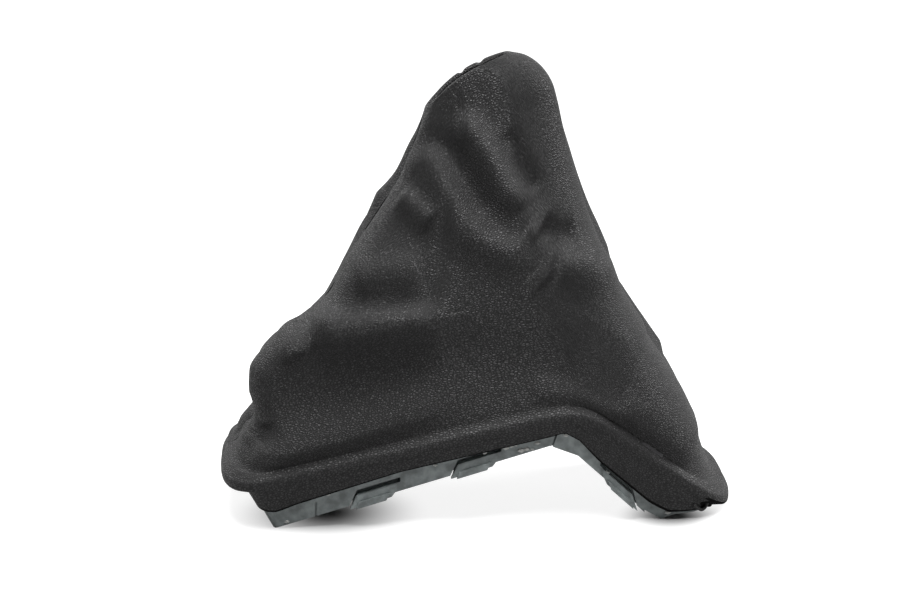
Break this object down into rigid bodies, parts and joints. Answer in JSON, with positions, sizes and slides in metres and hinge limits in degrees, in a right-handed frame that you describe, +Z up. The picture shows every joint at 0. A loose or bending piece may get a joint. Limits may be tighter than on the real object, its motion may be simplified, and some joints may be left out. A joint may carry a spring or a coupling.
{
  "type": "handbrake gaiter",
  "caption": "Soft folded sleeve of two sewn leatherette panels tapering to a slanted mouth, over a bent snap-in moulded ring frame.",
  "frame": {"origin": "middle of the part's box, at the level of the frame's lowest corners, on which the part stands", "axes": "+X to the rear of the car, along the frame; -Y to the side nearer the camera; +Z up, out of the mouth"},
  "size_m": [0.2258, 0.0908, 0.1994],
  "materials": {
    "leatherette": "satin",
    "plastic": "satin"
  },
  "bodies": {
    "root": {"frame": "plastic", "left_panel": "leatherette", "right_panel": "leatherette"}
  },
  "joints": []
}
